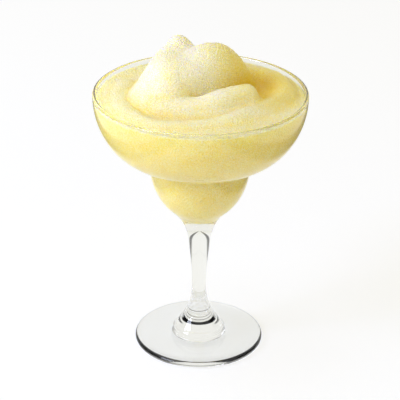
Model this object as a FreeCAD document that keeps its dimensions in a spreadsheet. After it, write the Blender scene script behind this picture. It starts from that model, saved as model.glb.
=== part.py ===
"""A frozen margarita: a slushy drink piled in soft folds in its stemmed glass.

Two pieces, in millimetres, with +Z up and the origin on the floor under the
middle of the foot:

    glass         bowl, stem and foot, one piece of glass turned about Z
    frozen_drink  the slush that fills the bowl and is heaped above the rim
"""

import FreeCAD, Part
import math
import os
import Sketcher

# ---------------------------------------------------------------- sizes

SIZES = {
    # glass
    "overall_height": 152.5,
    "rim_diameter": 117,
    "foot_diameter": 72.8,
    "wall": 2.2,
    "bowl_depth": 38.5,         # from the rim down to the shelf over the cup
    "cup_diameter": 56,         # the small bowl below the shelf
    "cup_depth": 37.5,          # from the shelf down to the cup's lowest place
    "cup_straight": 3,          # its upright stretch under the shelf
    "cup_floor": 2.5,           # the glass between the cup and the stem
    "shelf_fillet": 1.5,
    "stem_diameter": 8.1,       # at the waist, its thinnest place
    "stem_widening": 4.6,       # what the taper adds to the stem's radius up to the cup
    "stem_top_radius": 30,      # the sweep from the stem into the cup
    "stem_flare_radius": 34,    # the sweep from the waist down to the knob
    "knob_diameter": 29.6,
    "knob_radius": 4,           # its rounded shoulder
    "knob_side": 0.6,           # its upright side
    "knob_fillet": 1,
    "foot_height": 4.9,         # where the foot meets the knob
    "foot_edge": 3.6,           # its thickness at the edge, fully rounded
    "foot_ring": 5.6,           # the width of the flat ring it stands on
    "foot_hollow": 1.2,
    # slush
    "level_drop": 2.7,          # from the rim down to the slush at the wall
    "level_margin": 3,          # how far the level stays flat along the wall
    "heap_fade": 4,             # how far the folds take to run out inside that
    "heap_rise": 2.2,           # how far the level rises towards the middle
    "fold_blend": 1.1,          # how softly one fold runs into the next
}

# Sizes that follow from the ones above.
FORMULAS = {
    "knob_top": "foot_height + knob_fillet + knob_side",
    "flare_reach": "stem_diameter / 2 + stem_flare_radius - knob_diameter / 2 + knob_radius",
    "waist_height": "knob_top + sqrt((stem_flare_radius + knob_radius)^2 - flare_reach^2)",
    "taper_height": "overall_height - bowl_depth - cup_depth - waist_height",
    "stem_side_radius": "(taper_height^2 + stem_widening^2) / (2 * stem_widening)",
}

# Each fold is a soft roll of slush. Its middle line runs through a few places.
# A place gives x, y, the height above the slush level at the wall, and the
# roll's radius there.
FOLDS = {
    "peak": [
        (-18.5, -8.0, 12.8, 12.3),
        (-16.6, 3.0, 16.2, 10.2),
        (-11.3, 9.0, 18.8, 9.4),
        (-12.2, 12.5, 23.5, 6.7),
    ],
    "ridge": [
        (-14.8, -9.5, 13.5, 11.0),
        (-5.8, -5.0, 14.6, 11.7),
        (4.9, 2.0, 16.8, 12.6),
        (11.7, 6.0, 13.8, 11.2),
        (19.1, 9.0, 7.2, 8.0),
    ],
    "lobe": [
        (-30.6, -14.0, 2.8, 5.5),
        (-22.4, -22.0, 3.4, 5.3),
        (-12.4, -25.0, 3.2, 5.4),
        (-0.3, -25.0, 3.9, 5.8),
        (9.2, -22.0, 6.0, 6.2),
        (16.6, -18.0, 6.7, 6.1),
        (24.1, -14.0, 6.5, 6.2),
    ],
    "turn": [
        (-42.0, 14.0, -2.5, 5.5),
        (-43.7, -8.0, -2.4, 5.5),
        (-37.1, -27.0, -2.0, 5.2),
        (-23.5, -40.0, -2.5, 5.0),
        (-5.9, -41.5, -2.2, 5.0),
        (9.7, -38.0, -1.9, 5.0),
        (22.3, -29.0, -0.9, 5.2),
        (37.0, -14.0, -1.1, 5.4),
        (45.3, 5.0, -1.5, 6.0),
        (41.5, 22.0, -1.4, 6.5),
        (30.6, 28.0, -1.0, 7.0),
        (13.5, 36.0, 1.0, 7.0),
        (-8.9, 38.0, 2.4, 6.5),
    ],
    "back": [
        (-20.0, 12.0, 6.0, 9.0),
        (-6.0, 20.0, 8.5, 9.0),
        (9.0, 19.0, 7.5, 9.0),
        (20.0, 12.0, 3.0, 8.0),
    ],
}
FOLD_STEPS = 10         # places worked out between two named ones
FLANK_START = 0.8       # share of a roll's radius where its flank turns straight
GRID_STEPS = 50         # cells across the surface of the heap, each way
HALVINGS = 60           # steps of a search that halves its range each time

doc = FreeCAD.newDocument("FrozenMargarita")
sheet = doc.addObject("Spreadsheet::Sheet", "Sizes")
CELLS = SIZES | {alias: f"={formula}" for alias, formula in FORMULAS.items()}
for row, (alias, content) in enumerate(CELLS.items(), start=1):
    sheet.set(f"A{row}", alias)
    sheet.set(f"B{row}", str(content))
    sheet.setAlias(f"B{row}", alias)
doc.recompute()


def size(alias):
    """The number that the sheet holds under an alias."""
    return float(sheet.get(alias))


# ---------------------------------------------------------------- sketching

START, END, CENTRE = 1, 2, 3    # the points of a line or an arc
ORIGIN = (-1, START)
FLOOR, AXIS = -1, -2            # a sketch's own two axes


class Outline:
    """A closed half section, drawn edge after edge on a body's XZ plane."""

    def __init__(self, body, name):
        self.sketch = body.newObject("Sketcher::SketchObject", name)
        plane = next(p for p in body.Origin.OriginFeatures if p.Role == "XZ_Plane")
        self.sketch.AttachmentSupport = [(plane, "")]
        self.sketch.MapMode = "FlatFace"

    def tie(self, kind, *where):
        """Add a rule that needs no size."""
        self.sketch.addConstraint(Sketcher.Constraint(kind, *where))

    def bind(self, formula, kind, *where):
        """Add a rule whose size follows a formula of the sheet."""
        now = self.sketch.evalExpression(formula)
        index = self.sketch.addConstraint(Sketcher.Constraint(kind, *where, now))
        self.sketch.setExpression(f"Constraints[{index}]", formula)

    def line(self, start, end):
        points = [FreeCAD.Vector(x, z, 0) for x, z in (start, end)]
        return self.sketch.addGeometry(Part.LineSegment(*points), False)

    def arc(self, centre, radius, first, last):
        """A round arc, anticlockwise between two angles in degrees."""
        circle = Part.Circle(FreeCAD.Vector(*centre, 0), FreeCAD.Vector(0, 0, 1), radius)
        angles = (math.radians(first), math.radians(last))
        return self.sketch.addGeometry(Part.ArcOfCircle(circle, *angles), False)

    def quarter(self, centre, across, down, formula, start=0.0):
        """The lower right quarter of an ellipse, from near its foot to its side.

        start leaves out that many degrees at the foot. formula gives the
        ellipse's half height, and the caller ties its centre and its side.
        """
        x, z = centre
        middle = FreeCAD.Vector(x, z, 0)
        side = FreeCAD.Vector(x + across, z, 0)
        upright = down >= across
        if upright:
            ellipse = Part.Ellipse(FreeCAD.Vector(x, z - down, 0), side, middle)
            angles = (math.radians(start), math.radians(90))
        else:
            ellipse = Part.Ellipse(side, FreeCAD.Vector(x, z + down, 0), middle)
            angles = (math.radians(start - 90), 0)
        arc = self.sketch.addGeometry(Part.ArcOfEllipse(ellipse, *angles), False)
        self.sketch.exposeInternalGeometry(arc)
        long_axis, short_axis = arc + 1, arc + 2
        height_axis = long_axis if upright else short_axis
        self.tie("Vertical", height_axis)
        self.tie("Horizontal", arc, CENTRE, arc, END)
        self.bind(f"2 * ({formula})", "Distance", height_axis)
        return arc

    def join(self, first, first_end, second, second_end, smooth=True):
        """Bring two ends together, and make them run on in one direction."""
        kind = "Tangent" if smooth else "Coincident"
        self.tie(kind, first, first_end, second, second_end)

    def check(self):
        """Stop if the rules clash or leave anything loose."""
        if self.sketch.solve() != 0:
            raise RuntimeError(f"{self.sketch.Label}: the rules clash")
        if self.sketch.DoF != 0:
            raise RuntimeError(f"{self.sketch.Label}: {self.sketch.DoF} left loose")


def turn_about_z(body, sketch, name):
    """Turn a half section once round the upright axis."""
    turned = body.newObject("PartDesign::Revolution", name)
    turned.Profile = sketch
    turned.ReferenceAxis = (sketch, ["V_Axis"])
    turned.Angle = 360
    return turned


def draw_inside(outline, rim_height):
    """The glass's inner face: the bowl, the rounded shelf, the cup.

    Returns the bowl's arc and the cup's arc. Their free ends are at the rim
    and on the axis.
    """
    wall = size("wall")
    cup_side = size("cup_diameter") / 2 - wall
    shelf_radius = size("shelf_fillet") + wall
    shelf = (cup_side + shelf_radius, size("overall_height") - size("bowl_depth")
             - size("shelf_fillet"))
    cup_middle = shelf[1] + size("shelf_fillet") - size("cup_straight")
    cup_down = size("cup_depth") - size("cup_straight") - size("cup_floor")
    bowl_across = size("rim_diameter") / 2 - wall - shelf[0]
    bowl_down = rim_height - shelf[1] - shelf_radius

    bowl = outline.quarter(
        (shelf[0], rim_height), bowl_across, bowl_down,
        "Sizes.bowl_depth - 1.5 * Sizes.wall")
    bend = outline.arc(shelf, shelf_radius, 90, 180)
    straight = outline.line((cup_side, shelf[1]), (cup_side, cup_middle))
    cup = outline.quarter(
        (0, cup_middle), cup_side, cup_down,
        "Sizes.cup_depth - Sizes.cup_straight - Sizes.cup_floor")

    outline.tie("Vertical", bowl, CENTRE, bowl, START)
    outline.bind("Sizes.rim_diameter / 2 - Sizes.wall", "DistanceX", *ORIGIN, bowl, END)
    outline.bind("Sizes.overall_height - Sizes.wall / 2", "DistanceY", *ORIGIN, bowl, END)
    outline.join(bowl, START, bend, START)
    outline.bind("Sizes.shelf_fillet + Sizes.wall", "Radius", bend)
    outline.join(bend, END, straight, START)
    outline.tie("Vertical", straight)
    outline.join(straight, END, cup, END, smooth=False)
    outline.tie("PointOnObject", cup, CENTRE, AXIS)
    outline.tie("PointOnObject", cup, START, AXIS)
    outline.bind("Sizes.cup_diameter / 2 - Sizes.wall", "DistanceX", *ORIGIN, cup, END)
    outline.bind("Sizes.overall_height - Sizes.bowl_depth - Sizes.cup_straight",
                 "DistanceY", *ORIGIN, cup, END)
    return bowl, cup


# ---------------------------------------------------------------- glass


def make_glass():
    """One closed half section turned about Z, from the foot's hollow to the rim."""
    body = doc.addObject("PartDesign::Body", "Glass")
    body.Label = "glass"
    outline = Outline(body, "GlassSection")

    rim_side = size("rim_diameter") / 2
    rim_radius = size("wall") / 2
    rim_height = size("overall_height") - rim_radius
    shelf_height = size("overall_height") - size("bowl_depth")
    cup_side = size("cup_diameter") / 2
    cup_middle = shelf_height - size("cup_straight")
    cup_down = size("cup_depth") - size("cup_straight")
    foot_radius = size("foot_edge") / 2
    foot_middle = size("foot_diameter") / 2 - foot_radius
    ring_start = foot_middle - size("foot_ring")
    hollow = size("foot_hollow")
    hollow_radius = (ring_start ** 2 + hollow ** 2) / (2 * hollow)
    hollow_angle = math.degrees(math.asin(ring_start / hollow_radius))
    knob_side = size("knob_diameter") / 2
    top_slope = math.degrees(math.atan2(
        size("foot_height") - size("foot_edge"), foot_middle - knob_side))
    knob_bottom = size("foot_height") + size("knob_fillet")
    knob_top = size("knob_top")
    waist = size("stem_diameter") / 2
    flare = size("stem_flare_radius")
    shoulder = size("knob_radius")
    waist_height = size("waist_height")
    flare_turn = math.degrees(math.acos(size("flare_reach") / (flare + shoulder)))

    # The foot: hollow underneath, a flat ring, a round edge, a gently sloping top.
    under = outline.arc((0, hollow - hollow_radius), hollow_radius, 90 - hollow_angle, 90)
    ring = outline.line((ring_start, 0), (foot_middle, 0))
    edge = outline.arc((foot_middle, foot_radius), foot_radius, -90, 90 - top_slope)
    top = outline.line((foot_middle, 2 * foot_radius),
                       (knob_side + size("knob_fillet"), size("foot_height")))
    outline.tie("PointOnObject", under, CENTRE, AXIS)
    outline.tie("PointOnObject", under, END, AXIS)
    outline.bind("Sizes.foot_hollow", "DistanceY", *ORIGIN, under, END)
    outline.tie("PointOnObject", under, START, FLOOR)
    outline.bind("(Sizes.foot_diameter - Sizes.foot_edge) / 2 - Sizes.foot_ring",
                 "DistanceX", *ORIGIN, under, START)
    outline.join(under, START, ring, START, smooth=False)
    outline.tie("Horizontal", ring)
    outline.join(ring, END, edge, START)
    outline.bind("Sizes.foot_edge / 2", "Radius", edge)
    outline.bind("(Sizes.foot_diameter - Sizes.foot_edge) / 2",
                 "DistanceX", *ORIGIN, edge, CENTRE)
    outline.join(edge, END, top, START)

    # The knob: a bell that the stem flares into.
    root = outline.arc((knob_side + size("knob_fillet"), knob_bottom),
                       size("knob_fillet"), 180, 270 - top_slope)
    side = outline.line((knob_side, knob_bottom), (knob_side, knob_top))
    bell = outline.arc((knob_side - shoulder, knob_top), shoulder, 0, flare_turn)
    outline.join(top, END, root, END)
    outline.bind("Sizes.knob_fillet", "Radius", root)
    outline.bind("Sizes.foot_height + Sizes.knob_fillet", "DistanceY", *ORIGIN, root, START)
    outline.bind("Sizes.knob_diameter / 2", "DistanceX", *ORIGIN, root, START)
    outline.join(root, START, side, START)
    outline.tie("Vertical", side)
    outline.bind("Sizes.knob_side", "DistanceY", side, START, side, END)
    outline.join(side, END, bell, START)
    outline.bind("Sizes.knob_radius", "Radius", bell)

    # The stem: a flare below the waist, a slow taper above it, a sweep into the cup.
    below = outline.arc((waist + flare, waist_height), flare, 180, 180 + flare_turn)
    taper_radius = size("stem_side_radius")
    sweep_radius = size("stem_top_radius")
    taper_turn, sweep_middle = meet_cup(
        (waist + taper_radius, waist_height), taper_radius, sweep_radius,
        (cup_side, cup_down, cup_middle))
    above = outline.arc((waist + taper_radius, waist_height), taper_radius,
                        180 - taper_turn, 180)
    cup_angle, sweep_angle = touch_cup(sweep_middle, (cup_side, cup_down, cup_middle))
    sweep = outline.arc(sweep_middle, sweep_radius, sweep_angle, 180 - taper_turn)
    outline.join(bell, END, below, END)
    outline.bind("Sizes.stem_flare_radius", "Radius", below)
    outline.tie("Horizontal", below, CENTRE, below, START)
    outline.bind("Sizes.stem_diameter / 2", "DistanceX", *ORIGIN, below, START)
    outline.join(below, START, above, END)
    outline.bind("Sizes.stem_side_radius", "Radius", above)
    outline.join(above, START, sweep, END)
    outline.bind("Sizes.stem_top_radius", "Radius", sweep)

    # The cup and the bowl outside, the round rim, and the same shapes inside.
    cup = outline.quarter((0, cup_middle), cup_side, cup_down,
                          "Sizes.cup_depth - Sizes.cup_straight", start=cup_angle)
    straight = outline.line((cup_side, cup_middle),
                            (cup_side, shelf_height - size("shelf_fillet")))
    bend = outline.arc((cup_side + size("shelf_fillet"), shelf_height - size("shelf_fillet")),
                       size("shelf_fillet"), 90, 180)
    bowl = outline.quarter((cup_side + size("shelf_fillet"), rim_height),
                           rim_side - cup_side - size("shelf_fillet"),
                           rim_height - shelf_height, "Sizes.bowl_depth - Sizes.wall / 2")
    rim = outline.arc((rim_side - rim_radius, rim_height), rim_radius, 0, 180)
    outline.join(sweep, START, cup, START)
    outline.tie("PointOnObject", cup, CENTRE, AXIS)
    outline.bind("Sizes.cup_diameter / 2", "DistanceX", *ORIGIN, cup, END)
    outline.bind("Sizes.overall_height - Sizes.bowl_depth - Sizes.cup_straight",
                 "DistanceY", *ORIGIN, cup, END)
    outline.join(cup, END, straight, START, smooth=False)
    outline.tie("Vertical", straight)
    outline.join(straight, END, bend, END)
    outline.bind("Sizes.shelf_fillet", "Radius", bend)
    outline.join(bend, START, bowl, START)
    outline.tie("Vertical", bowl, CENTRE, bowl, START)
    outline.bind("Sizes.rim_diameter / 2", "DistanceX", *ORIGIN, bowl, END)
    outline.join(bowl, END, rim, START, smooth=False)
    outline.tie("Horizontal", rim, START, rim, CENTRE)
    outline.tie("Horizontal", rim, START, rim, END)

    inner_bowl, inner_cup = draw_inside(outline, rim_height)
    outline.join(rim, END, inner_bowl, END, smooth=False)
    middle = outline.line((0, cup_middle - cup_down + size("cup_floor")), (0, hollow))
    outline.join(inner_cup, START, middle, START, smooth=False)
    outline.join(middle, END, under, END, smooth=False)
    doc.recompute()
    outline.check()
    turn_about_z(body, outline.sketch, "TurnedGlass")
    return body


def touch_cup(point, cup):
    """Where the cup is nearest to a point beside and below it.

    Returns the place as degrees round the cup's ellipse from its foot, and
    the direction from the point to it in degrees.
    """
    side, down, middle = cup
    low, high = 0.0, math.pi / 2
    for _ in range(HALVINGS):
        angle = (low + high) / 2
        x, z = side * math.sin(angle), middle - down * math.cos(angle)
        along = (side * math.cos(angle), down * math.sin(angle))
        ahead = (point[0] - x) * along[0] + (point[1] - z) * along[1]
        low, high = (angle, high) if ahead > 0 else (low, angle)
    direction = math.degrees(math.atan2(z - point[1], x - point[0]))
    return math.degrees(angle), direction


def meet_cup(taper_middle, taper_radius, sweep_radius, cup):
    """Where an arc that follows the taper just touches the cup.

    Returns how many degrees the taper turns before it, and the arc's centre.
    """
    side, down, middle = cup
    low = 0.0
    high = math.degrees(math.asin(min(1.0, (middle - taper_middle[1]) / taper_radius)))
    for _ in range(HALVINGS):
        turn = (low + high) / 2
        away = taper_radius - sweep_radius
        centre = (taper_middle[0] - away * math.cos(math.radians(turn)),
                  taper_middle[1] + away * math.sin(math.radians(turn)))
        angle = math.radians(touch_cup(centre, cup)[0])
        gap = math.hypot(side * math.sin(angle) - centre[0],
                         middle - down * math.cos(angle) - centre[1])
        low, high = (turn, high) if gap > sweep_radius else (low, turn)
    return turn, centre


# ---------------------------------------------------------------- slush


def along_fold(places):
    """Points of a smooth curve through a fold's places, with their radii."""
    first = [2 * a - b for a, b in zip(places[0], places[1])]
    last = [2 * a - b for a, b in zip(places[-1], places[-2])]
    path = [first, *places, last]
    points = []
    for before, here, there, after in zip(path, path[1:], path[2:], path[3:]):
        for step in range(FOLD_STEPS):
            share = step / FOLD_STEPS
            points.append([
                0.5 * (2 * b + (c - a) * share + (2 * a - 5 * b + 4 * c - d) * share ** 2
                       + (3 * b - a - 3 * c + d) * share ** 3)
                for a, b, c, d in zip(before, here, there, after)])
    points.append(list(places[-1]))
    return points


def roll_height(x, y, points):
    """The height of a fold above the level, over one place of the plan.

    A roll is round on top and falls away with a straight flank below that.
    """
    flank_drop = FLANK_START / math.sqrt(1 - FLANK_START ** 2)
    best = -math.inf
    for px, py, pz, radius in points:
        out = math.hypot(x - px, y - py) / radius
        if out < FLANK_START:
            crown = math.sqrt(1 - out ** 2)
        else:
            crown = math.sqrt(1 - FLANK_START ** 2) - (out - FLANK_START) * flank_drop
        best = max(best, pz + radius * crown)
    return best


def heap_height(x, y, folds):
    """The height of the slush above its level at the wall."""
    inside = size("rim_diameter") / 2 - size("wall") - size("level_margin")
    out = min(1.0, math.hypot(x, y) / inside)
    rise = size("heap_rise") * (1 - out ** 2) ** 2
    blend = size("fold_blend")
    heights = [rise] + [roll_height(x, y, points) for points in folds]
    highest = max(heights)
    swell = blend * math.log(sum(math.exp((one - highest) / blend) for one in heights))
    fade = smooth_step((inside - math.hypot(x, y)) / size("heap_fade"))
    return max(0.0, highest + swell) * fade


def smooth_step(share):
    """A soft rise from 0 to 1."""
    share = min(1.0, max(0.0, share))
    return share * share * (3 - 2 * share)


def make_heap():
    """The space under the heap's surface, down past the bottom of the cup."""
    folds = [along_fold(places) for places in FOLDS.values()]
    half = size("rim_diameter") / 2
    level = size("overall_height") - size("level_drop")
    pitch = 2 * half / GRID_STEPS
    rows = []
    for i in range(GRID_STEPS + 1):
        x = i * pitch - half
        row = []
        for j in range(GRID_STEPS + 1):
            y = j * pitch - half
            row.append(FreeCAD.Vector(x, y, level + heap_height(x, y, folds)))
        rows.append(row)
    surface = Part.BSplineSurface()
    surface.interpolate(rows)
    depth = size("overall_height")
    return surface.toShape().extrude(FreeCAD.Vector(0, 0, -depth))


def make_drink():
    """The inside of the glass, filled up to the heap's surface."""
    body = doc.addObject("PartDesign::Body", "GlassInside")
    outline = Outline(body, "InsideSection")
    rim_height = size("overall_height") - size("wall") / 2
    side = size("rim_diameter") / 2 - size("wall")
    top_height = 2 * size("overall_height")
    bowl, cup = draw_inside(outline, rim_height)
    upright = outline.line((side, rim_height), (side, top_height))
    lid = outline.line((side, top_height), (0, top_height))
    cup_bottom = size("overall_height") - size("bowl_depth") - size("cup_depth") + size("cup_floor")
    middle = outline.line((0, top_height), (0, cup_bottom))
    outline.join(bowl, END, upright, START, smooth=False)
    outline.tie("Vertical", upright)
    outline.bind("2 * Sizes.overall_height", "DistanceY", *ORIGIN, upright, END)
    outline.join(upright, END, lid, START, smooth=False)
    outline.tie("Horizontal", lid)
    outline.join(lid, END, middle, START, smooth=False)
    outline.join(middle, END, cup, START, smooth=False)
    outline.tie("Vertical", middle)
    doc.recompute()
    outline.check()
    turn_about_z(body, outline.sketch, "TurnedInside")

    heap = doc.addObject("Part::Feature", "Heap")
    heap.Shape = make_heap()
    drink = doc.addObject("Part::Common", "FrozenDrink")
    drink.Label = "frozen_drink"
    drink.Base = body
    drink.Tool = heap
    return drink


# ---------------------------------------------------------------- writing


def check_document():
    """Stop if any object of the document failed."""
    for item in doc.Objects:
        if "Invalid" in item.State or "Error" in item.State:
            raise RuntimeError(f"{item.Label}: {item.State}")


def write(piece):
    """Write one piece's solid, named by its label."""
    shape = piece.Shape
    if shape.isNull() or not shape.isValid() or len(shape.Solids) != 1:
        raise RuntimeError(f"{piece.Label}: not one sound solid")
    shape.exportStep(os.path.join("parts", f"{piece.Label}.step"))
    box = shape.optimalBoundingBox(False, False)
    print(f"{piece.Label}: {shape.Volume / 1000:.1f} cm3, "
          f"{box.XLength:.1f} x {box.YLength:.1f} x {box.ZLength:.1f} mm, top {box.ZMax:.1f}")


pieces = [make_glass(), make_drink()]
doc.recompute()
check_document()
os.makedirs("parts", exist_ok=True)
for piece in pieces:
    write(piece)
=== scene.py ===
# %% [markdown]
# # A frozen margarita in its glass
#
# The drink is blended ice, thick enough to stand in soft folds above the rim.
# The glass is one piece of clear soda-lime glass with a wide bowl, a small cup
# below it, a drawn stem and a pressed foot. The CAD model gives both pieces at
# their real size. This lesson gives them their finish: a lathe-turned glass
# that bends light cleanly, and slush with its folds, grain and wet valleys.

# %% Load the frame
import math

import bmesh
import bpy
import numpy as np
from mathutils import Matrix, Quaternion, Vector, noise


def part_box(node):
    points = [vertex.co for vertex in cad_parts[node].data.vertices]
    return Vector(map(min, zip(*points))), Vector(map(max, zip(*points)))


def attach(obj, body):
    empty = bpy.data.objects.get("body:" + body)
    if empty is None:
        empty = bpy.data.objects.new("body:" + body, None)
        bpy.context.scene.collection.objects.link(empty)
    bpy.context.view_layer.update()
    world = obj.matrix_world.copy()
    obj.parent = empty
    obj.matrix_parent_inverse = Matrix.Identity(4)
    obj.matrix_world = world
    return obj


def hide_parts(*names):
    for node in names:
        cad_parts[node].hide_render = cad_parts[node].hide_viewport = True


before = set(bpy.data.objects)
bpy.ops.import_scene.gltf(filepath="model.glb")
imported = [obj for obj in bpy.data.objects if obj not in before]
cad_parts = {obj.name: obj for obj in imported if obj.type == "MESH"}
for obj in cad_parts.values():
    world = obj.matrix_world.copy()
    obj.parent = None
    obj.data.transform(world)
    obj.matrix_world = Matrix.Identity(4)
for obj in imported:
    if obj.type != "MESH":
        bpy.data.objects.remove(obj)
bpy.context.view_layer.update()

glass_low, glass_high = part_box("glass")
drink_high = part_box("frozen_drink")[1]

# %% [markdown]
# ## Sizes
#
# The glass's own sizes are written in millimetres, as on a maker's drawing,
# and every outline below is worked out from them. The two overall sizes come
# from the frame, so that the finish always fits the CAD model it stands on.

# %% The glass's sizes, in millimetres
MM = 0.001
RIM_RADIUS = (glass_high.x - glass_low.x) / 2 / MM
HEIGHT = glass_high.z / MM
WALL = 2.2                # bowl and cup
BOWL_DEPTH = 38.5         # from the rim down to the shelf above the cup
CUP_RADIUS = 28.0
CUP_DEPTH = 37.5          # from the shelf to where the cup would end without a stem
CUP_STRAIGHT = 3.0        # the upright run just under the shelf
CUP_FLOOR = 2.5           # glass under the middle of the cup's inside
SHELF_FILLET = 1.5        # where the bowl turns into the cup, outside
STEM_RADIUS = 4.05        # at the waist
STEM_WIDENING = 4.6       # what the taper adds from the waist up to the cup
STEM_TOP_RADIUS = 30.0    # the sweep from the stem into the cup
STEM_FLARE_RADIUS = 34.0  # the sweep from the waist down to the knob
KNOB_RADIUS = 14.8
KNOB_SHOULDER = 4.0
KNOB_SIDE = 0.6
KNOB_FILLET = 1.0
FOOT_RADIUS = 36.4
FOOT_HEIGHT = 4.9         # in the middle, at the knob
FOOT_EDGE = 3.6           # at the edge, fully rounded
FOOT_RING = 5.6           # the flat ring that the foot stands on
FOOT_HOLLOW = 1.2         # the dish under the foot
SHELF_HEIGHT = HEIGHT - BOWL_DEPTH
CUP_MIDDLE = SHELF_HEIGHT - CUP_STRAIGHT
RIM_MIDDLE = HEIGHT - WALL / 2
print(f"rim {2 * RIM_RADIUS:.1f} mm across, {HEIGHT:.1f} mm tall")

# %% [markdown]
# ## The glass's outline
#
# A blown and pressed glass is round, so half of its section says everything
# about it. The section is a chain of arcs: each arc here is listed by its
# centre, its two half axes and the angles where it starts and stops. Where the
# stem sweeps into the cup, the two curves must touch without a kink, so that
# place is found by halving an interval until the gap between them closes.


# %% Arcs and the place where the stem meets the cup
def arc(centre, across, up, first, last, steps):
    """Points round an ellipse between two angles in degrees."""
    angles = np.radians(np.linspace(first, last, steps + 1))
    return np.column_stack([centre[0] + across * np.cos(angles),
                            centre[1] + up * np.sin(angles)])


CUP_DOWN = CUP_DEPTH - CUP_STRAIGHT


def nearest_on_cup(point):
    """The cup's place, in degrees from its side, that is nearest to a point below it."""
    angles = np.linspace(-90.0, 0.0, 18001)
    x = CUP_RADIUS * np.cos(np.radians(angles))
    z = CUP_MIDDLE + CUP_DOWN * np.sin(np.radians(angles))
    gaps = np.hypot(x - point[0], z - point[1])
    best = int(np.argmin(gaps))
    return angles[best], gaps[best], math.degrees(math.atan2(z[best] - point[1], x[best] - point[0]))


def sweep_into_cup(waist_height, taper_radius):
    """How far the stem's taper turns before its sweep, and the sweep's centre."""
    low = 0.0
    high = math.degrees(math.asin(min(1.0, (CUP_MIDDLE - waist_height) / taper_radius)))
    away = taper_radius - STEM_TOP_RADIUS
    for _ in range(40):
        turn = (low + high) / 2
        centre = (STEM_RADIUS + taper_radius - away * math.cos(math.radians(turn)),
                  waist_height + away * math.sin(math.radians(turn)))
        gap = nearest_on_cup(centre)[1] - STEM_TOP_RADIUS
        low, high = (turn, high) if gap > 0 else (low, turn)
    return turn, centre


# %% The whole half section
def inner_outline(push=0.0):
    """The inside from the rim down to the middle of the cup, moved into the wall by push."""
    corner = SHELF_FILLET + WALL
    shelf = (CUP_RADIUS - WALL + corner, SHELF_HEIGHT - SHELF_FILLET)
    side = RIM_RADIUS - WALL
    bowl = arc((shelf[0], RIM_MIDDLE), side - shelf[0] + push,
               RIM_MIDDLE - shelf[1] - corner + push, 0, -90, 60)
    bend = arc(shelf, corner - push, corner - push, 90, 180, 12)
    cup = arc((0, CUP_MIDDLE), CUP_RADIUS - WALL + push,
              CUP_DOWN - CUP_FLOOR + push, 0, -90, 48)
    return np.vstack([bowl, bend[1:], cup])


def outer_outline():
    """The underside, foot, knob, stem, cup and bowl, up to the rim's outer edge."""
    foot_round = FOOT_EDGE / 2
    foot_middle = FOOT_RADIUS - foot_round
    ring_start = foot_middle - FOOT_RING
    hollow_radius = (ring_start ** 2 + FOOT_HOLLOW ** 2) / (2 * FOOT_HOLLOW)
    hollow_turn = math.degrees(math.asin(ring_start / hollow_radius))
    knob_top = FOOT_HEIGHT + KNOB_FILLET + KNOB_SIDE
    reach = STEM_RADIUS + STEM_FLARE_RADIUS - (KNOB_RADIUS - KNOB_SHOULDER)
    both = STEM_FLARE_RADIUS + KNOB_SHOULDER
    waist_height = knob_top + math.sqrt(both ** 2 - reach ** 2)
    flare_turn = math.degrees(math.acos(reach / both))
    taper_height = SHELF_HEIGHT - CUP_DEPTH - waist_height
    taper_radius = (taper_height ** 2 + STEM_WIDENING ** 2) / (2 * STEM_WIDENING)
    turn, sweep = sweep_into_cup(waist_height, taper_radius)
    cup_place, _, sweep_end = nearest_on_cup(sweep)
    shelf = (CUP_RADIUS + SHELF_FILLET, SHELF_HEIGHT - SHELF_FILLET)
    chain = [
        arc((0, FOOT_HOLLOW - hollow_radius), hollow_radius, hollow_radius,
            90, 90 - hollow_turn, 10),
        arc((foot_middle, foot_round), foot_round, foot_round, -90, 86, 20),
        arc((KNOB_RADIUS + KNOB_FILLET, FOOT_HEIGHT + KNOB_FILLET),
            KNOB_FILLET, KNOB_FILLET, 266, 180, 8),
        arc((KNOB_RADIUS - KNOB_SHOULDER, knob_top), KNOB_SHOULDER, KNOB_SHOULDER,
            0, flare_turn, 10),
        arc((STEM_RADIUS + STEM_FLARE_RADIUS, waist_height),
            STEM_FLARE_RADIUS, STEM_FLARE_RADIUS, 180 + flare_turn, 180, 24),
        arc((STEM_RADIUS + taper_radius, waist_height),
            taper_radius, taper_radius, 180, 180 - turn, 24)[1:],
        arc(sweep, STEM_TOP_RADIUS, STEM_TOP_RADIUS, 180 - turn, sweep_end, 24)[1:],
        arc((0, CUP_MIDDLE), CUP_RADIUS, CUP_DOWN, cup_place, 0, 32)[1:],
        arc(shelf, SHELF_FILLET, SHELF_FILLET, 180, 90, 10),
        arc((shelf[0], RIM_MIDDLE), RIM_RADIUS - shelf[0], RIM_MIDDLE - SHELF_HEIGHT,
            -90, 0, 60)[1:],
    ]
    return np.vstack(chain)


rim_round = arc((RIM_RADIUS - WALL / 2, RIM_MIDDLE), WALL / 2, WALL / 2, 0, 180, 16)
glass_section = np.vstack([outer_outline(), rim_round[1:-1], inner_outline()])
print("the section has", len(glass_section), "points")

# %% [markdown]
# ## Turning the glass
#
# The Screw modifier is Blender's lathe: it turns a line of points round an
# axis. 256 steps make the sides so fine that the bent light shows no flats.
# A copy of the CAD solid would do for a matt thing, but in clear glass each
# long thin triangle of such a mesh would show as a streak.


# %% A lathe for outlines
LATHE_STEPS = 256


def apply_modifiers(piece):
    """Bake a piece's modifiers into its mesh."""
    ready = piece.evaluated_get(bpy.context.evaluated_depsgraph_get())
    mesh = bpy.data.meshes.new_from_object(ready)
    old = piece.data
    piece.modifiers.clear()
    piece.data = mesh
    bpy.data.meshes.remove(old)
    return piece


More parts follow.
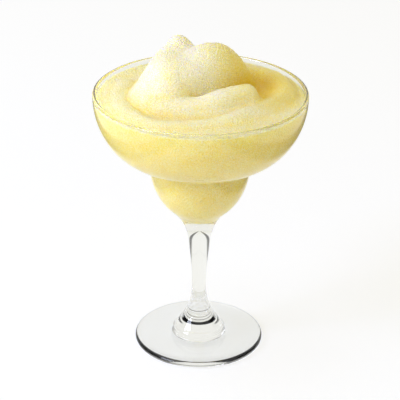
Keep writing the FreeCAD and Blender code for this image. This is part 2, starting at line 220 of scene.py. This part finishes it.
def turned(name, section, steps):
    """A mesh object turned about Z from a half section in millimetres."""
    mesh = bpy.data.meshes.new(name)
    points = [(r * MM, 0.0, z * MM) for r, z in section]
    mesh.from_pydata(points, [(i, i + 1) for i in range(len(points) - 1)], [])
    piece = bpy.data.objects.new(name, mesh)
    bpy.context.scene.collection.objects.link(piece)
    lathe = piece.modifiers.new("lathe", "SCREW")
    lathe.steps = steps
    lathe.render_steps = steps
    lathe.use_merge_vertices = True
    lathe.merge_threshold = 1e-6
    lathe.use_normal_calculate = True
    return apply_modifiers(piece)


def smooth_shaded(piece):
    """Shade a piece smooth."""
    piece.data.polygons.foreach_set("use_smooth", [True] * len(piece.data.polygons))
    piece.data.update()
    return piece


# %% The glass
glass = smooth_shaded(turned("margarita_glass", glass_section, LATHE_STEPS))
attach(glass, "root")
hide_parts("glass")
print("glass:", len(glass.data.polygons), "faces")

# %% [markdown]
# ## The folds of the slush
#
# Thick slush comes out of the blender jar as one soft rope that folds over
# itself. Clay could be dragged into such folds with a sculpting brush, but then
# no size could be read or changed. So each fold here is a roll: a smooth line
# through a few places, with a radius at each. The peak leans into the ridge,
# the lobe lies in front of both, and the turn runs low round the edge.

# %% Where the folds lie: across, back, height above the level and radius, in millimetres
LEVEL = HEIGHT - 2.7  # the slush's level at the wall
FOLDS = {
    "peak": [
        (-18.5, -8.0, 12.8, 12.3),
        (-16.6, 3.0, 16.2, 10.2),
        (-11.3, 9.0, 18.8, 9.4),
        (-12.2, 12.5, 23.5, 6.7),
    ],
    "ridge": [
        (-14.8, -9.5, 13.5, 11.0),
        (-5.8, -5.0, 14.6, 11.7),
        (4.9, 2.0, 16.8, 12.6),
        (11.7, 6.0, 13.8, 11.2),
        (19.1, 9.0, 7.2, 8.0),
    ],
    "lobe": [
        (-30.6, -14.0, 2.8, 5.5),
        (-22.4, -22.0, 3.4, 5.3),
        (-12.4, -25.0, 3.2, 5.4),
        (-0.3, -25.0, 3.9, 5.8),
        (9.2, -22.0, 6.0, 6.2),
        (16.6, -18.0, 6.7, 6.1),
        (24.1, -14.0, 6.5, 6.2),
    ],
    "turn": [
        (-42.0, 14.0, -2.5, 5.5),
        (-43.7, -8.0, -2.4, 5.5),
        (-37.1, -27.0, -2.0, 5.2),
        (-23.5, -40.0, -2.5, 5.0),
        (-5.9, -41.5, -2.2, 5.0),
        (9.7, -38.0, -1.9, 5.0),
        (22.3, -29.0, -0.9, 5.2),
        (37.0, -14.0, -1.1, 5.4),
        (45.3, 5.0, -1.5, 6.0),
        (41.5, 22.0, -1.4, 6.5),
        (30.6, 28.0, -1.0, 7.0),
        (13.5, 36.0, 1.0, 7.0),
        (-8.9, 38.0, 2.4, 6.5),
    ],
    "back": [
        (-20.0, 12.0, 6.0, 9.0),
        (-6.0, 20.0, 8.5, 9.0),
        (9.0, 19.0, 7.5, 9.0),
        (20.0, 12.0, 3.0, 8.0),
    ],
}


def along(places, steps=4):
    """Points and radii of a smooth curve through a fold's places."""
    rows = np.array(places, float)
    path = np.vstack([2 * rows[0] - rows[1], rows, 2 * rows[-1] - rows[-2]])
    share = np.linspace(0, 1, steps, endpoint=False)[:, None]
    spans = []
    for a, b, c, d in zip(path, path[1:], path[2:], path[3:]):
        spans.append(0.5 * (2 * b + (c - a) * share + (2 * a - 5 * b + 4 * c - d) * share ** 2
                            + (3 * b - a - 3 * c + d) * share ** 3))
    points = np.vstack(spans + [rows[-1:]])
    points[:, 2] += LEVEL
    return points


rolls = {name: along(places) for name, places in FOLDS.items()}
for name, roll in rolls.items():
    print(f"fold {name}: top {np.max(roll[:, 2] + roll[:, 3]) - HEIGHT:.1f} mm above the rim")

# %% [markdown]
# ## From rolls to one skin
#
# The slush in the glass is the glass's inside, turned on the same lathe and
# pushed a quarter of a millimetre into the wall, so that no air shows between
# them. A roll doesn't float: it rests on slush that spreads below it, so each
# ball strung along a fold stands on a skirt that widens downwards. The Remesh
# modifier wraps one skin of even squares round it all.

# %% The plain slush in the glass
WALL_BITE = 0.25  # how far the slush reaches into the wall
HEAP_RISE = 2.2   # how much the plain slush rises towards the middle
HEAP_EDGE = 3.0   # how far inside the wall that rise starts
SURFACE_POINTS = 60
SLUSH_STEPS = 180  # its flats are under 0.01 mm deep, and nothing is bent in them
inside_wall = inner_outline(push=WALL_BITE)
slush_inside = inside_wall[inside_wall[:, 1] < LEVEL]
side_radius = float(np.interp(-LEVEL, -inside_wall[:, 1], inside_wall[:, 0]))


def level_at(radius):
    """The height of the plain slush at a distance from the axis, in millimetres."""
    out = np.clip(radius / (RIM_RADIUS - WALL - HEAP_EDGE), 0, 1)
    return LEVEL + HEAP_RISE * (1 - out ** 2) ** 2


surface = [(r, float(level_at(r))) for r in np.linspace(0, side_radius, SURFACE_POINTS)]
slush = turned("margarita_slush", np.vstack([surface, slush_inside]), SLUSH_STEPS)
print(f"plain slush: {side_radius:.1f} mm in radius at its level")

# %% A ball on a skirt at each point of a roll
LEANS = {"peak": 30.0, "ridge": 8.0, "lobe": 25.0, "turn": 55.0, "back": 30.0}  # flank, from upright
SKIRT_FOOT = LEVEL - 3.0  # where the skirts end, inside the plain slush
SKIRT_SIDES = 32


def add_roll(piece, roll, lean):
    """Join a ball on a skirt at each point of a roll to a piece's mesh."""
    mesh = bmesh.new()
    mesh.from_mesh(piece.data)
    out, up = math.cos(math.radians(lean)), math.sin(math.radians(lean))
    for x, y, z, radius in roll:
        made = bmesh.ops.create_icosphere(mesh, subdivisions=3, radius=radius * MM)
        bmesh.ops.translate(mesh, verts=made["verts"], vec=Vector((x, y, z)) * MM)
        top = z + radius * up
        drop = top - SKIRT_FOOT
        wide = radius * out + drop * up / out
        made = bmesh.ops.create_cone(
            mesh, cap_ends=True, segments=SKIRT_SIDES, radius1=wide * MM, radius2=radius * out * MM,
            depth=drop * MM)
        bmesh.ops.translate(mesh, verts=made["verts"], vec=Vector((x, y, top - drop / 2)) * MM)
    mesh.to_mesh(piece.data)
    mesh.free()


for name, roll in rolls.items():
    add_roll(slush, roll, LEANS[name])
print("balls and skirts:", 2 * sum(len(roll) for roll in rolls.values()))

# %% One skin round it all
SKIN_CELL = 0.71  # the skin's squares


def held_in_glass(points):
    """Points in millimetres, brought back to the inside of the wall."""
    reach = np.interp(-points[:, 2], -inside_wall[:, 1], inside_wall[:, 0])
    reach = np.minimum(reach, side_radius)
    radius = np.maximum(np.hypot(points[:, 0], points[:, 1]), 1e-9)
    points[:, :2] *= np.minimum(1.0, reach / radius)[:, None]
    return points


def get_places(piece):
    """A piece's points in millimetres."""
    places = np.zeros(len(piece.data.vertices) * 3)
    piece.data.vertices.foreach_get("co", places)
    return places.reshape(-1, 3) / MM


def set_places(piece, places):
    """Move a piece's points to places in millimetres."""
    piece.data.vertices.foreach_set("co", (places * MM).astype(np.float32).ravel())
    piece.data.update()


set_places(slush, held_in_glass(get_places(slush)))
skin = slush.modifiers.new("skin", "REMESH")
skin.mode = "VOXEL"
skin.voxel_size = SKIN_CELL * MM
apply_modifiers(slush)
print("skin:", len(slush.data.vertices), "points")

# %% [markdown]
# ## Softening the joins
#
# The remeshed skin meets in hard creases. Real slush slumps until its joins
# are round. A smoothing brush would shrink the folds with the creases, so each
# point is moved on to a softened union instead: its distance to every fold is
# worked out, and the distances are blended where the smallest one would do for
# a hard crease. Near the wall the folds sink away, as the glass holds them.

# %% Distances to the folds
WALL_FADE = 7.0  # how near the wall the folds start to sink
WALL_SINK = 8.0  # how far they have sunk at the wall


def nearest_on_span(points, start, end, axes):
    """The ball of a span, from one place of a roll to the next, that is nearest to each point."""
    line = end - start
    share = (points[:, :axes] - start[:axes]) @ line[:axes] / (line[:axes] @ line[:axes])
    return start + np.clip(share, 0, 1)[:, None] * line


def roll_distance(points, roll, lean):
    """Distance to a roll with its skirt, and the way out from it."""
    out, up = math.cos(math.radians(lean)), math.sin(math.radians(lean))
    best = np.full(len(points), np.inf)
    way = np.zeros((len(points), 3))
    for start, end in zip(roll, roll[1:]):
        ball = nearest_on_span(points, start, end, 3)
        apart = points - ball[:, :3]
        length = np.maximum(np.linalg.norm(apart, axis=1), 1e-9)
        gap = length - ball[:, 3]
        closer = gap < best
        best[closer] = gap[closer]
        way[closer] = (apart / length[:, None])[closer]
        ball = nearest_on_span(points, start, end, 2)
        apart = points - ball[:, :3]
        beside = np.maximum(np.hypot(apart[:, 0], apart[:, 1]), 1e-9)
        gap = beside * out + apart[:, 2] * up - ball[:, 3]
        closer = (apart[:, 2] * out < beside * up) & (gap < best)
        best[closer] = gap[closer]
        flank = np.column_stack([apart[:, :2] * (out / beside)[:, None],
                                 np.full(len(points), up)])
        way[closer] = flank[closer]
    return best, way


def fold_distances(points):
    """Distance to the plain slush and to each fold, with the way out from each."""
    radius = np.hypot(points[:, 0], points[:, 1])
    sink = WALL_SINK * np.clip((radius - side_radius + WALL_FADE) / WALL_FADE, 0, 1) ** 2
    gaps = [points[:, 2] - level_at(radius)]
    ways = [np.tile((0.0, 0.0, 1.0), (len(points), 1))]
    for name, roll in rolls.items():
        gap, way = roll_distance(points, roll, LEANS[name])
        gaps.append(gap + sink)
        ways.append(way)
    return np.array(gaps), np.array(ways)


def blended(gaps, softness):
    """The softened smallest distance, and how much each part counts in it."""
    least = gaps.min(axis=0)
    weights = np.exp(-(gaps - least) / softness)
    total = weights.sum(axis=0)
    return least - softness * np.log(total), weights / total


# %% Pulling the skin on to the softened union
JOIN_SOFTNESS = 1.5
PULLS = 4
LONGEST_PULL = 0.5      # so that no point jumps past its neighbours
LEAST_STEEPNESS = 0.2   # in a crease the ways out cancel, and pulls would grow too long
HELD_BELOW = 0.9  # under the level by this much, the skin lies on the wall and stays
HOLD_BLEND = 0.6
places = get_places(slush)
free = np.clip((places[:, 2] - LEVEL + HELD_BELOW) / HOLD_BLEND, 0, 1)
upper = free > 0
open_points = places[upper]
open_free = free[upper]
for _ in range(PULLS):
    gaps, ways = fold_distances(open_points)
    gap, weights = blended(gaps, JOIN_SOFTNESS)
    way = (weights[:, :, None] * ways).sum(axis=0)
    steepness = np.maximum((way ** 2).sum(axis=1), LEAST_STEEPNESS)
    move = np.clip(gap / steepness, -LONGEST_PULL, LONGEST_PULL) * open_free
    open_points = open_points - way * move[:, None]
places[upper] = open_points
print(f"heap: {open_points[:, 2].max() - HEIGHT:.1f} mm over the rim,",
      f"{drink_high.z / MM - HEIGHT:.1f} mm in the CAD model")

# %% [markdown]
# ## Where the juice collects, and painted shade
#
# Juice drains from the crests and collects low down and in the creases between
# folds. The deeper yellow there is partly that juice and partly painted shade,
# for these are the places in shade. Most of all it is deep on the right behind
# the ridge, and that round patch is painted shade only, where the peak and the
# ridge shade the slush from the key; it is placed by a centre and a reach. That
# could be painted by hand. The creases follow from the shape: much blending of
# distances means a crease. Juice and painted shade are kept on the mesh together
# for the colour to read.

# %% Juice and painted shade, from 0, a drained crest, to 1, pooled juice or deepest painted shade
WALL_WETNESS = 0.6
CREST_WETNESS = 0.1
# Low down the yellow is deeper: partly drained juice, partly painted shade.
LOW_JUICE_AND_SHADE = 0.28     # added at the level, and less up to LOW_REACH above it
LOW_REACH = 14.0
# In the creases the yellow is deeper: partly pooled juice, partly painted shade.
CREASE_SOFTNESS = 1.8
CREASE_JUICE_AND_SHADE = 0.22
CREASE_FROM, CREASE_SPAN = 0.5, 0.9  # 1 is where two folds blend evenly
# Painted shade on the right: a round patch where the peak and the ridge shade the slush from the
# key.
RIGHT_SHADE_X, RIGHT_SHADE_Y = 29.0, 6.0             # millimetres from the axis
RIGHT_SHADE_REACH = 33.0
RIGHT_SHADE_DEPTH = 0.85
gaps, _ = fold_distances(open_points)
soft_gap, _ = blended(gaps, CREASE_SOFTNESS)
blending = (gaps.min(axis=0) - soft_gap) / (CREASE_SOFTNESS * math.log(2))
crease = np.clip((blending - CREASE_FROM) / CREASE_SPAN, 0, 1)
lowness = np.clip(1 - (open_points[:, 2] - LEVEL) / LOW_REACH, 0, 1)
right_shade = np.clip(1 - np.hypot(open_points[:, 0] - RIGHT_SHADE_X, open_points[:, 1] - RIGHT_SHADE_Y) / RIGHT_SHADE_REACH, 0, 1)
open_juice_and_shade = (CREST_WETNESS + LOW_JUICE_AND_SHADE * lowness + CREASE_JUICE_AND_SHADE * crease
                + RIGHT_SHADE_DEPTH * right_shade)
juice_and_painted_shade = np.full(len(places), WALL_WETNESS)
juice_and_painted_shade[upper] = WALL_WETNESS + (open_juice_and_shade - WALL_WETNESS) * open_free
# This attribute holds pooled juice and painted shade together.
juice_and_shade = slush.data.attributes.new("juice_and_shade", "FLOAT", "POINT")
juice_and_shade.data.foreach_set("value", np.clip(juice_and_painted_shade, 0, 1).astype(np.float32))
print(f"wetness: {open_juice_and_shade.min():.2f} to {open_juice_and_shade.max():.2f} on the open slush")

# %% [markdown]
# ## Grain
#
# The ice is crushed to grains of about half a millimetre to a millimetre. The
# larger ones and the small slumps between them are real relief on the skin,
# made by layered noise along each point's own direction. The finest grain is
# left to the material.

# %% Grain as relief, in millimetres
GRAIN = 1.3
GRAIN_HEIGHT = 0.13
LUMP = 5.5
LUMP_HEIGHT = 0.22
LUMP_SHIFT = Vector((7.3, 1.9, 4.1))  # so that lumps and grains don't rise together
set_places(slush, places)
normals = np.zeros(len(places) * 3)
slush.data.vertices.foreach_get("normal", normals)
normals = normals.reshape(-1, 3)[upper]
relief = np.array([
    GRAIN_HEIGHT * noise.noise(Vector(p / GRAIN))
    + LUMP_HEIGHT * noise.noise(Vector(p / LUMP) + LUMP_SHIFT)
    for p in open_points])
places[upper] = open_points + normals * (relief * open_free)[:, None]
set_places(slush, places)
smooth_shaded(slush)
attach(slush, "root")
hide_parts("frozen_drink")
print(f"slush: {len(slush.data.polygons)} faces, relief {np.ptp(relief):.2f} mm")

# %% [markdown]
# ## Two helpers for materials
#
# Screen colours are written as sRGB hex, but light adds up in linear values,
# so one function converts them. Another adds a node, sets it and links it, so
# that each material below reads as a list of what it is made of.


# %% Colour and node helpers
def linear(hex_colour):
    """An sRGB hex colour as linear red, green, blue and alpha."""
    parts = [int(hex_colour[i:i + 2], 16) / 255 for i in (1, 3, 5)]
    return [p / 12.92 if p <= 0.04045 else ((p + 0.055) / 1.055) ** 2.4 for p in parts] + [1.0]


def add_node(tree, kind, settings=None, values=None, links=None):
    """Add a node, with its settings, its sockets' values and links from (node, socket)."""
    made = tree.nodes.new(kind)
    for name, value in (settings or {}).items():
        setattr(made, name, value)
    for name, value in (values or {}).items():
        made.inputs[name].default_value = value
    for name, (source, socket) in (links or {}).items():
        tree.links.new(source.outputs[socket], made.inputs[name])
    return made


def new_material(name):
    """An empty node material."""
    material = bpy.data.materials.new(name)
    material.use_nodes = True
    material.node_tree.nodes.clear()
    return material


print("a crest's colour in linear values", [round(part, 3) for part in linear("#FFFAE2")[:3]])

# %% [markdown]
# ## Clear soda-lime glass
#
# Table glass is soda-lime glass: the bowl is blown, the stem drawn and the foot
# pressed, and the rim is melted smooth in a flame. Its index is 1.52 and it has
# no roughness to see, only a faint waviness a few centimetres long that the
# eye knows from the way edges wander in it. A thick piece looks a little grey.
#
# Light has to pass the glass to reach the slush, and a path tracer finds that
# way badly. So for shadow rays the glass is simply see-through: the thin wall
# lets nearly all light by, while the solid stem and foot, which really bend
# light away to the side, hold back more than half of it at each face.

# %% The glass's material
WAVE_LENGTH = 33.3     # mm
WALL_PASSES = 0.87     # light let by at each face of the thin wall
SOLID_PASSES = 0.42    # and of the solid stem and foot
SOLID_BELOW, THIN_ABOVE = 70.0, 85.0


def soda_lime_glass():
    """Glass that bends what is seen through it, with a shadow that fits its thickness."""
    material = new_material("soda_lime_glass")
    tree = material.node_tree
    where = add_node(tree, "ShaderNodeTexCoord")
    wave = add_node(tree, "ShaderNodeTexNoise",
                    values={"Scale": 1 / (WAVE_LENGTH * MM), "Detail": 1.0},
                    links={"Vector": (where, "Object")})
    uneven = add_node(tree, "ShaderNodeBump", values={"Strength": 0.02, "Distance": 0.001},
                      links={"Height": (wave, "Fac")})
    clear = add_node(tree, "ShaderNodeBsdfPrincipled",
                     values={"Base Color": linear("#F4F4EE"), "Roughness": 0.0, "IOR": 1.52,
                             "Transmission Weight": 1.0},
                     links={"Normal": (uneven, "Normal")})
    place = add_node(tree, "ShaderNodeSeparateXYZ", links={"Vector": (where, "Object")})
    passed = add_node(tree, "ShaderNodeMapRange",
                      values={"From Min": SOLID_BELOW * MM, "From Max": THIN_ABOVE * MM,
                              "To Min": SOLID_PASSES, "To Max": WALL_PASSES},
                      links={"Value": (place, "Z")})
    grey = add_node(tree, "ShaderNodeCombineColor",
                    links={channel: (passed, "Result") for channel in ("Red", "Green", "Blue")})
    open_way = add_node(tree, "ShaderNodeBsdfTransparent", links={"Color": (grey, "Color")})
    path = add_node(tree, "ShaderNodeLightPath")
    choice = add_node(tree, "ShaderNodeMixShader",
                      links={"Fac": (path, "Is Shadow Ray"), 1: (clear, "BSDF"),
                             2: (open_way, "BSDF")})
    add_node(tree, "ShaderNodeOutputMaterial", links={"Surface": (choice, "Shader")})
    return material


glass.data.materials.clear()
glass.data.materials.append(soda_lime_glass())
print("glass: index 1.52, wall passes", WALL_PASSES, "of a lamp's light at each face")

# %% [markdown]
# ## Lime slush
#
# Ice blended with lime juice is a mass of clear grains about half a millimetre
# across, full of tiny air bubbles. Light goes some millimetres into it, farther
# in red and green than in blue, because the juice takes the blue out. That is
# why its shaded side glows yellow while its lit crests stay nearly white; on the
# right and in the creases that yellow is deepened by painted shade as well.
#
# A plain yellow paint would look like plastic. Here light really walks about
# inside, and the juice and painted shade kept on the mesh pick the colour: from
# ice full of air, over a drained crest and plain slush, to pooled juice and
# painted shade. Fine grain and soft clouds disturb it. Crystals of a millimetre
# bump the surface.

# %% The slush's colours, from drained to pooled juice and painted shade, and the sizes of its patterns
AIRY_ICE = "#FFFFFA"
CREST = "#FFFAE2"
PLAIN_SLUSH = "#FCE994"
# The deepest yellow: pooled juice, and painted shade on the right and in the creases.
DEEP_JUICE_AND_SHADE = "#F4D848"
CREST_AT, PLAIN_AT = 0.2, 0.6
ICE_GRAIN = 0.435       # mm, true size
JUICE_CLOUD = 7.14      # mm, how far drained and wet patches lie apart
CRYSTAL = 1.0           # mm, the coarsest crystals; finer ones wouldn't show as bumps
GRAIN_CONTRAST = 1.6
CLOUD_CONTRAST = 0.3


def lime_slush():
    """Slush that glows through, coloured by its juice and painted shade."""
    material = new_material("lime_slush")
    tree = material.node_tree
    where = add_node(tree, "ShaderNodeTexCoord")
    juice_and_shade_here = add_node(tree, "ShaderNodeAttribute", {"attribute_name": "juice_and_shade"})
    grains = add_node(tree, "ShaderNodeTexNoise",
                      values={"Scale": 1 / (ICE_GRAIN * MM), "Detail": 1.0},
                      links={"Vector": (where, "Object")})
    clouds = add_node(tree, "ShaderNodeTexNoise",
                      values={"Scale": 1 / (JUICE_CLOUD * MM), "Detail": 3.0},
                      links={"Vector": (where, "Object")})
    crystals = add_node(tree, "ShaderNodeTexVoronoi", values={"Scale": 1 / (CRYSTAL * MM)},
                        links={"Vector": (where, "Object")})
    speckle = add_node(tree, "ShaderNodeMath", {"operation": "MULTIPLY_ADD"},
                       {1: GRAIN_CONTRAST, 2: -GRAIN_CONTRAST / 2}, {0: (grains, "Fac")})
    patches = add_node(tree, "ShaderNodeMath", {"operation": "MULTIPLY_ADD"},
                       {1: CLOUD_CONTRAST, 2: -CLOUD_CONTRAST / 2}, {0: (clouds, "Fac")})
    disturbed = add_node(tree, "ShaderNodeMath", {"operation": "ADD"},
                         links={0: (speckle, "Value"), 1: (patches, "Value")})
    juice_shade_and_grain = add_node(tree, "ShaderNodeMath", {"operation": "ADD"},
                     links={0: (juice_and_shade_here, "Fac"), 1: (disturbed, "Value")})
    body = add_node(tree, "ShaderNodeValToRGB", links={"Fac": (juice_shade_and_grain, "Value")})
    body.color_ramp.elements[0].color = linear(AIRY_ICE)
    body.color_ramp.elements[1].color = linear(DEEP_JUICE_AND_SHADE)
    body.color_ramp.elements.new(CREST_AT).color = linear(CREST)
    body.color_ramp.elements.new(PLAIN_AT).color = linear(PLAIN_SLUSH)
    bumps = add_node(tree, "ShaderNodeBump", values={"Strength": 1.0, "Distance": 0.0006},
                     links={"Height": (crystals, "Distance")})
    ice = add_node(tree, "ShaderNodeBsdfPrincipled", {"subsurface_method": "RANDOM_WALK"},
                   {"Roughness": 0.35, "IOR": 1.33, "Subsurface Weight": 0.8,
                    "Subsurface Scale": 0.018, "Subsurface Radius": (1.0, 0.88, 0.12)},
                   {"Base Color": (body, "Color"), "Normal": (bumps, "Normal")})
    add_node(tree, "ShaderNodeOutputMaterial", links={"Surface": (ice, "BSDF")})
    return material


slush.data.materials.clear()
slush.data.materials.append(lime_slush())
print(f"slush: {1 / ICE_GRAIN:.1f} grains to the millimetre, index 1.33")

# %% [markdown]
# ## Dark flags beside the glass
#
# Clear glass has no colour of its own. In a white studio it nearly vanishes, so
# black flags are stood at both sides of it: the glass mirrors and bends them
# into its dark outlines. Real boards could be modelled, but they would
# also shade the slush and show in a turned view. So the flags here are only in
# what mirrored and bent rays find on the paper and in the room. Straight rays
# see white, and rays that have met something matt see the room that lights it.


# %% Telling rays apart
def ray_kinds(tree, flag):
    """Nodes for a ray that has met nothing matt, dimmed by a flag, and for one that has."""
    path = add_node(tree, "ShaderNodeLightPath")
    bounced = add_node(tree, "ShaderNodeMath", {"operation": "MINIMUM"}, {1: 1.0},
                       {0: (path, "Diffuse Depth")})
    fresh = add_node(tree, "ShaderNodeMath", {"operation": "SUBTRACT"}, {0: 1.0},
                     {1: (bounced, "Value")})
    shown = add_node(tree, "ShaderNodeMath", {"operation": "MAXIMUM"},
                     links={0: (path, "Is Camera Ray"), 1: (flag, "Result")})
    first = add_node(tree, "ShaderNodeMath", {"operation": "MULTIPLY"},
                     links={0: (fresh, "Value"), 1: (shown, "Value")})
    return first, bounced


# %% [markdown]
# ## White paper on a light table
#
# The glass stands on a wide sheet of matt white paper. Lit by lamps alone it
# would be grey beside the white room, so it lies on a light table that makes
# most of its brightness, and the lamps add a little, which leaves soft shadows.
# The paper is a cool white, since the room's fill light is warm: together they
# come out neutral. Its flags are two strips, one at each side of the foot.

# %% The paper
PAPER_SIZE = 8.0           # metres
PAPER_DROP = 0.0002
PAPER_TONE = 0.46          # how much of the lamps' light it gives back
PAPER_TINT = {"Red": 0.66, "Green": 0.72, "Blue": 1.0}
TABLE_GLOW = 0.72
STRIP_PLACE = 0.165        # metres from the axis to the middle of a dark strip
STRIP_DARK, STRIP_EDGE = 0.03, 0.06  # half its dark width, and half its width with soft edges
STRIP_TONE = 0.15


def white_paper():
    """Matt paper with an even glow, and a dark strip at each side for the glass."""
    material = new_material("white_paper")
    tree = material.node_tree
    where = add_node(tree, "ShaderNodeTexCoord")
    place = add_node(tree, "ShaderNodeSeparateXYZ", links={"Vector": (where, "Object")})
    side = add_node(tree, "ShaderNodeMath", {"operation": "ABSOLUTE"}, links={0: (place, "X")})
    offset = add_node(tree, "ShaderNodeMath", {"operation": "SUBTRACT"}, {1: STRIP_PLACE},
                      {0: (side, "Value")})
    apart = add_node(tree, "ShaderNodeMath", {"operation": "ABSOLUTE"},
                     links={0: (offset, "Value")})
    strip = add_node(tree, "ShaderNodeMapRange",
                     values={"From Min": STRIP_DARK, "From Max": STRIP_EDGE,
                             "To Min": STRIP_TONE, "To Max": 1.0},
                     links={"Value": (apart, "Value")})
    first, bounced = ray_kinds(tree, strip)
    every = add_node(tree, "ShaderNodeMath", {"operation": "ADD"},
                     links={0: (first, "Value"), 1: (bounced, "Value")})
    tone = add_node(tree, "ShaderNodeCombineColor")
    for channel, share in PAPER_TINT.items():
        part = add_node(tree, "ShaderNodeMath", {"operation": "MULTIPLY"},
                        {1: PAPER_TONE * share}, {0: (every, "Value")})
        tree.links.new(part.outputs["Value"], tone.inputs[channel])
    matt = add_node(tree, "ShaderNodeBsdfDiffuse", links={"Color": (tone, "Color")})
    strength = add_node(tree, "ShaderNodeMath", {"operation": "MULTIPLY_ADD"}, {1: TABLE_GLOW},
                        {0: (first, "Value"), 2: (bounced, "Value")})
    glow = add_node(tree, "ShaderNodeEmission", values={"Color": linear("#FFFFFF")},
                    links={"Strength": (strength, "Value")})
    both = add_node(tree, "ShaderNodeAddShader",
                    links={0: (matt, "BSDF"), 1: (glow, "Emission")})
    add_node(tree, "ShaderNodeOutputMaterial", links={"Surface": (both, "Shader")})
    return material


sheet = bpy.data.meshes.new("floor")
half = PAPER_SIZE / 2
sheet.from_pydata([(-half, -half, 0), (half, -half, 0), (half, half, 0), (-half, half, 0)],
                  [], [(0, 1, 2, 3)])
sheet.materials.append(white_paper())
floor = bpy.data.objects.new("floor", sheet)
bpy.context.scene.collection.objects.link(floor)
floor.location.z = -PAPER_DROP
print("paper:", PAPER_SIZE, "m square")

# %% [markdown]
# ## The white room
#
# For the glass, the room is plain white with a flag far out at each side. For
# the slush it is a warm card that stands low all round: its light comes in
# flat, fills the shaded flanks and the cup under the bowl, and gives them the
# lemon glow that slush has where light has passed through it.

# %% The room
CARD_COLOUR = "#FFE66E"
CARD_LOW = 0.92           # the card's strength at eye height
CARD_FADE = 0.7           # how much weaker it is straight overhead
FLAG_FROM, FLAG_FULL = 0.80, 0.92  # how far sideways a ray of length 1 points
ROOM_TONE, FLAG_TONE = 0.95, 0.15
scene = bpy.context.scene


def white_room():
    """A white world with side flags for glass and a low warm card for what is matt."""
    world = bpy.data.worlds.new("studio")
    world.use_nodes = True
    tree = world.node_tree
    tree.nodes.clear()
    where = add_node(tree, "ShaderNodeTexCoord")
    way = add_node(tree, "ShaderNodeSeparateXYZ", links={"Vector": (where, "Generated")})
    side = add_node(tree, "ShaderNodeMath", {"operation": "ABSOLUTE"}, links={0: (way, "X")})
    flag = add_node(tree, "ShaderNodeMapRange",
                    values={"From Min": FLAG_FROM, "From Max": FLAG_FULL,
                            "To Min": ROOM_TONE, "To Max": FLAG_TONE},
                    links={"Value": (side, "Value")})
    first, bounced = ray_kinds(tree, flag)
    walls = add_node(tree, "ShaderNodeBackground", values={"Color": linear("#FFFFFF")},
                     links={"Strength": (first, "Value")})
    low_down = add_node(tree, "ShaderNodeMath", {"operation": "MULTIPLY_ADD"},
                        {1: -CARD_FADE, 2: CARD_LOW}, {0: (way, "Z")})
    strength = add_node(tree, "ShaderNodeMath", {"operation": "MULTIPLY"},
                        links={0: (bounced, "Value"), 1: (low_down, "Value")})
    card = add_node(tree, "ShaderNodeBackground", values={"Color": linear(CARD_COLOUR)},
                    links={"Strength": (strength, "Value")})
    both = add_node(tree, "ShaderNodeAddShader",
                    links={0: (walls, "Background"), 1: (card, "Background")})
    add_node(tree, "ShaderNodeOutputWorld", links={"Surface": (both, "Shader")})
    return world


scene.world = white_room()
print("room: card at", CARD_LOW, "low down and", round(CARD_LOW - CARD_FADE, 2), "overhead")

# %% [markdown]
# ## Lamps
#
# The key is a large softbox at the left, about thirty degrees up, so that the
# peak and the ridge shade the slush to their right. It is a little blue beside
# the warm card, as daylight is, and that keeps the lit crests pale. A second,
# weak softbox overhead opens the shadows. Both face down to the drink.


# %% Softboxes
def softbox(name, place, aim, size, power, tint):
    """A square area lamp at a place in metres, turned to an aim."""
    lamp = bpy.data.lights.new(name, "AREA")
    lamp.shape = "SQUARE"
    lamp.size = size
    lamp.energy = power
    lamp.color = linear(tint)[:3]
    holder = bpy.data.objects.new(name, lamp)
    scene.collection.objects.link(holder)
    holder.location = place
    direction = Vector(aim) - Vector(place)
    holder.rotation_euler = direction.to_track_quat("-Z", "Y").to_euler()
    return holder


key = softbox("key", (-1.75, -0.8, 1.35), (0, 0, 0.13), 1.0, 36.0, "#E6ECFF")
top = softbox("top", (-0.6, 0.0, 2.3), (0, 0, 0.1), 1.2, 10.0, "#FFFFFF")
print("lamps:", key.data.energy, "and", top.data.energy, "W")

# %% [markdown]
# ## Camera
#
# A long lens from about a metre keeps the glass nearly free of perspective. It
# looks down by some 26 degrees, which opens the rim to an ellipse and shows the
# folds, and it is turned by half a degree about its own axis.

# %% The camera, in metres
CAMERA_PLACE = Vector((0.0, -0.84353, 0.50163))
CAMERA_AIM = Vector((0.00015, 0.0, 0.08742))
CAMERA_ROLL = math.radians(0.506)
lens = bpy.data.cameras.new("camera")
lens.lens = 152.07
lens.sensor_width = 36.0
lens.sensor_fit = "HORIZONTAL"
camera = bpy.data.objects.new("camera", lens)
scene.collection.objects.link(camera)
camera.location = CAMERA_PLACE
camera.rotation_mode = "QUATERNION"
turn = (CAMERA_AIM - CAMERA_PLACE).to_track_quat("-Z", "Y")
camera.rotation_quaternion = turn @ Quaternion((0, 0, 1), CAMERA_ROLL)
scene.camera = camera
scene.view_settings.view_transform = "Standard"
scene.view_settings.look = "None"
print(f"camera: {(CAMERA_AIM - CAMERA_PLACE).length:.2f} m from its aim")
